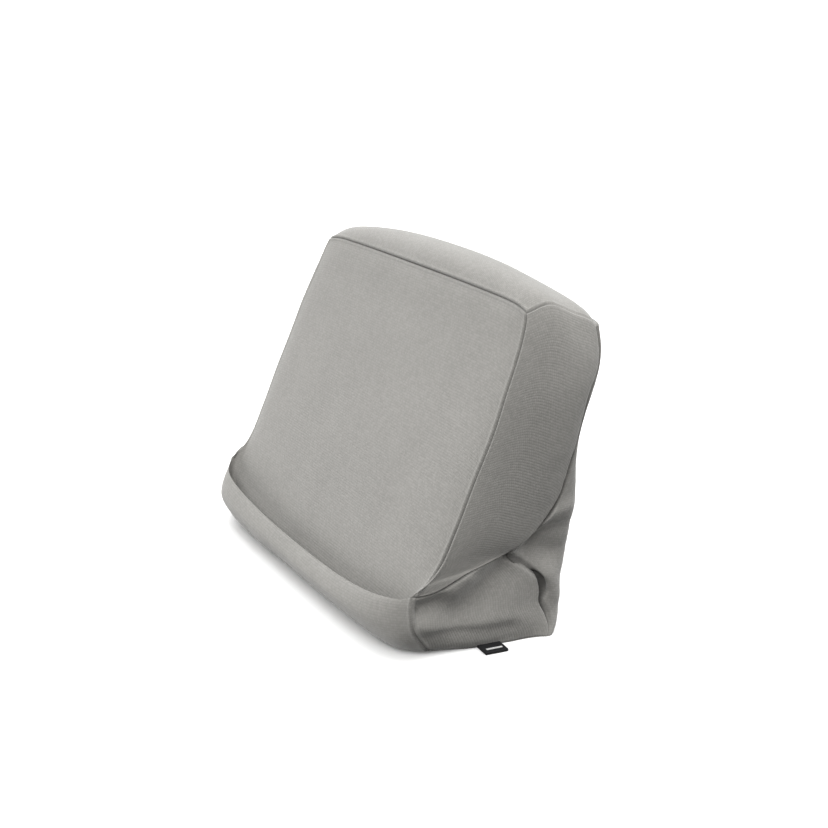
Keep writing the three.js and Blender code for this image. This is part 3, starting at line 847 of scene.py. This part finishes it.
def cloth_material():
    """Grey ribbed cloth, with shade painted into its seams."""
    cloth = Shader("ribbed_cloth")
    along, across, body = cloth.places()
    weave, knot = ribbed_weave(cloth, along, across, body)
    fuzz = cloth.noise(body, FUZZ_SCALE, TONE_DETAIL)
    cloud = cloth.math("SUBTRACT", cloth.noise(body, CLOUD_SCALE, TONE_DETAIL), 0.5)
    tones = (weave, WEAVE_TONE), (knot, KNOT_TONE), (cloud, CLOUD_TONE), (fuzz, FUZZ_TONE)
    colour = cloth.tint(cloth.weighed(*tones), CLOTH_DARK, CLOTH_LIGHT)
    # The seam attribute holds the shade painted into the seams' grooves; it mixes the cloth towards a
    # near-black colour
    seam = cloth.node("Attribute", attribute_name="seam").outputs["Fac"]
    painted_shade = cloth.math("MULTIPLY", seam, PAINTED_SHADE_SHARE)
    relief = cloth.weighed((weave, 1.0), (fuzz, FUZZ_RELIEF))
    return cloth.finish({
        "Base Color": cloth.tint(painted_shade, colour, PAINTED_SEAM_SHADE),
        "Normal": cloth.bump(relief, CLOTH_RELIEF),
        "Roughness": cloth.mix(weave, 0.97, 0.86),
        "Sheen Weight": 0.3,
        "Sheen Roughness": 0.45,
        "Specular IOR Level": 0.3,
    })


# Camera of the photo: its place in metres, its turn from +y and how far down it looks in degrees, and
# its lens and sensor's width in millimetres
CAMERA_PLACE = (0.7882, -0.3834, 0.3559)
CAMERA_TURN = 62.78
CAMERA_DOWN = 16.51
LENS = 66.96
SENSOR_WIDTH = 36


def make_camera():
    """The camera of the photo."""
    data = bpy.data.cameras.new("photo_view")
    data.lens = LENS
    data.sensor_width = SENSOR_WIDTH
    camera = add_object("photo_view", data)
    camera.location = CAMERA_PLACE
    camera.rotation_euler = (math.radians(90 - CAMERA_DOWN), 0, math.radians(CAMERA_TURN))
    bpy.context.scene.camera = camera


# Pale round floor with far walls, in metres
FLOOR_RADIUS = 17.0
FLOOR_SIDES = 48
WALL_HEIGHT = 9.0
FLOOR_COLOUR = (0.9, 0.9, 0.895, 1)


def make_floor():
    """The floor and walls. They bounce no light on the object and keep none from it."""
    mesh = bpy.data.meshes.new("floor")
    turns = [2 * math.pi * k / FLOOR_SIDES for k in range(FLOOR_SIDES)]
    rim = [(FLOOR_RADIUS * math.cos(a), FLOOR_RADIUS * math.sin(a)) for a in turns]
    points = [(x, y, z) for z in (0, WALL_HEIGHT) for x, y in rim]
    pairs = [(k, (k + 1) % FLOOR_SIDES) for k in range(FLOOR_SIDES)]
    walls = [(a, b, FLOOR_SIDES + b, FLOOR_SIDES + a) for a, b in pairs]
    mesh.from_pydata(points, [], [tuple(range(FLOOR_SIDES))] + walls)
    mesh.materials.append(Shader("pale_floor").finish({"Base Color": FLOOR_COLOUR, "Roughness": 0.9}))
    floor = add_object("floor", mesh)
    floor.visible_diffuse = False
    floor.visible_shadow = False


# Far lights, each as wide as SUN_WIDTH in degrees: where it comes from, and its strength. The one named
# table stands for the light that a pale table sends up from in front.
SUN_WIDTH = 50
SUNS = {
    "above": ((0, 0.1, 1), 1.5),
    "back": ((0, 0.75, 0.66), 2.2),
    "left": ((-0.8, 0.1, 0.6), 2.1),
    "front": ((0.5, -0.5, 0.7), 3.2),
    "table": ((-0.6, -0.77, -0.22), 2.3),
    "rear": ((0.45, 0.8, 0.35), 0.9),
}
SKY_STRENGTH = 0.06


def make_lights():
    """The far lights, and a faint white sky."""
    for name, ((x, y, z), strength) in SUNS.items():
        data = bpy.data.lights.new(name, "SUN")
        data.energy = strength
        data.angle = math.radians(SUN_WIDTH)
        lamp = add_object(name, data)
        lamp.rotation_euler = (math.atan2(math.hypot(x, y), z), 0, math.atan2(y, x) + math.pi / 2)
    world = bpy.data.worlds.new("studio")
    bpy.context.scene.world = world
    world.use_nodes = True
    sky = world.node_tree.nodes["Background"]
    sky.inputs["Color"].default_value = (1, 1, 1, 1)
    sky.inputs["Strength"].default_value = SKY_STRENGTH
    bpy.context.scene.view_settings.view_transform = "Standard"


def make_pillow():
    """The cloth cover of the whole pillow, as one closed mesh."""
    cover = Cover(panels_of(Lines()))
    points = seamed(cover, folded(cover))
    piece = make_piece("pillow_cover", points, cover.faces, cover.places, cloth_material())
    # Shade painted into the seams' grooves, as a point attribute for the cloth's material
    add_field(piece, "seam", cover.painted_seam_shade)
    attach(piece, "root")
    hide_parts("pillow")


# Loop tag in the right base seam: a narrow tape folded back on itself, lying on the table. Reach is how
# far it comes out of the seam, inside how far it goes in, and gap is what is free between its layers.
TAG_WIDTH = 13.5
TAG_REACH = 9.5
TAG_INSIDE = 2
TAPE_THICKNESS = 0.86
TAPE_GAP = 0.05

# Where the tag leaves the seam (x, y), and its turn in degrees
TAG_PLACE = (131.2, 0.2)
TAG_TURN = -3

# Points along a layer of the tape, round its fold, across its faces and round its edges
LAYER_POINTS = 14
FOLD_POINTS = 13
FACE_POINTS = 28
EDGE_POINTS = 9

# Tape: cross ridges and warp threads, black and a light grey, each from dark to light
RIDGE_PITCH = 0.55
WARP_PITCH = 0.42
WARP_DIP = 0.6
TAPE_FUZZ_SCALE = 2400.0
TAPE_WEAVE_TONE = 0.6
TAPE_FUZZ_TONE = 0.5
TAPE_BLACK = ((0.004, 0.004, 0.0045, 1), (0.014, 0.014, 0.015, 1))
TAPE_GREY = ((0.30, 0.30, 0.30, 1), (0.62, 0.62, 0.61, 1))
TAPE_RELIEF = 0.00012

# A plain light stripe on the tag's upper face: its middle and width along the tape, its length across it
STRIPE_PLACE = 14.9
STRIPE_WIDTH = 1.7
STRIPE_LENGTH = 9.6


def tape_path():
    """Middle line of the folded tape (out, z), its directions across the tape, and lengths."""
    half = TAPE_THICKNESS / 2
    bend = half + TAPE_GAP / 2
    flat = np.linspace(-TAG_INSIDE, TAG_REACH - half - bend, LAYER_POINTS)
    turn = np.linspace(-math.pi / 2, math.pi / 2, FOLD_POINTS)
    out = np.concatenate([flat[:-1], flat[-1] + bend * np.cos(turn), flat[-2::-1]])
    level = np.ones(LAYER_POINTS - 1)
    angle = np.concatenate([-level * math.pi / 2, turn, level * math.pi / 2])
    z = half + bend + bend * np.concatenate([-level, np.sin(turn), level])
    line = np.stack([out, z], axis=1)
    return line, np.stack([np.cos(angle), np.sin(angle)], axis=1), lengths(line)


def tape_section():
    """Outline of the tape's section (outwards, across): flat on both faces, with round edges."""
    half = TAPE_THICKNESS / 2
    edge = TAG_WIDTH / 2 - half
    flat = np.linspace(-1, 1, FACE_POINTS)[1:-1] * edge
    turn = np.linspace(-math.pi / 2, math.pi / 2, EDGE_POINTS)
    side = np.stack([half * np.sin(turn), edge + half * np.cos(turn)], axis=1)
    upper = np.stack([0 * flat + half, flat[::-1]], axis=1)
    lower = np.stack([0 * flat - half, flat], axis=1)
    return np.vstack([lower, side, upper, -side])


def tape_material():
    """Black woven tape with a plain light stripe."""
    tape = Shader("woven_tape")
    out, over, body = tape.places()
    ridge = tape.wave(tape.math("DIVIDE", out, RIDGE_PITCH))
    warp = tape.wave(tape.math("DIVIDE", over, WARP_PITCH))
    weave = tape.math("MULTIPLY", ridge, tape.mix(warp, WARP_DIP, 1.0))
    fuzz = tape.noise(body, TAPE_FUZZ_SCALE, TONE_DETAIL)
    tone = tape.weighed((weave, TAPE_WEAVE_TONE), (fuzz, TAPE_FUZZ_TONE))
    bands = tape.band(out, STRIPE_PLACE, STRIPE_WIDTH), tape.band(over, 0.0, STRIPE_LENGTH)
    stripe = tape.math("MULTIPLY", *bands)
    return tape.finish({
        "Base Color": tape.tint(stripe, tape.tint(tone, *TAPE_BLACK), tape.tint(tone, *TAPE_GREY)),
        "Normal": tape.bump(weave, TAPE_RELIEF),
        "Roughness": tape.mix(weave, 0.9, 0.75),
        "Specular IOR Level": 0.15,
    })


def tape_mesh():
    """The tag's points, faces and places on the tape: a section along a path, closed at both ends."""
    line, outward, reach = tape_path()
    section = tape_section()
    steps, sides = len(line), len(section)
    flat = line[:, None] + outward[:, None] * section[None, :, :1]
    over = np.broadcast_to(section[None, :, 1], (steps, sides))
    turn = math.radians(TAG_TURN)
    x = TAG_PLACE[0] + flat[..., 0] * math.cos(turn) - over * math.sin(turn)
    y = TAG_PLACE[1] + flat[..., 0] * math.sin(turn) + over * math.cos(turn)
    points = np.stack([x, y, flat[..., 1]], axis=-1).reshape(-1, 3)
    rings = []
    for i in range(steps - 1):
        for j in range(sides):
            k = (j + 1) % sides
            rings.append([(i, j), (i, k), (i + 1, k), (i + 1, j)])
    rings.append([(0, j) for j in reversed(range(sides))])
    rings.append([(steps - 1, j) for j in range(sides)])
    faces = [[i * sides + j for i, j in ring] for ring in rings]
    return points, faces, [(reach[i], section[j, 1]) for ring in rings for i, j in ring]


def make_tag():
    """The loop tag, as one closed mesh."""
    piece = make_piece("loop_tag", *tape_mesh(), tape_material())
    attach(piece, "root")
    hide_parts("tag")


make_camera()
make_floor()
make_lights()
make_pillow()
make_tag()
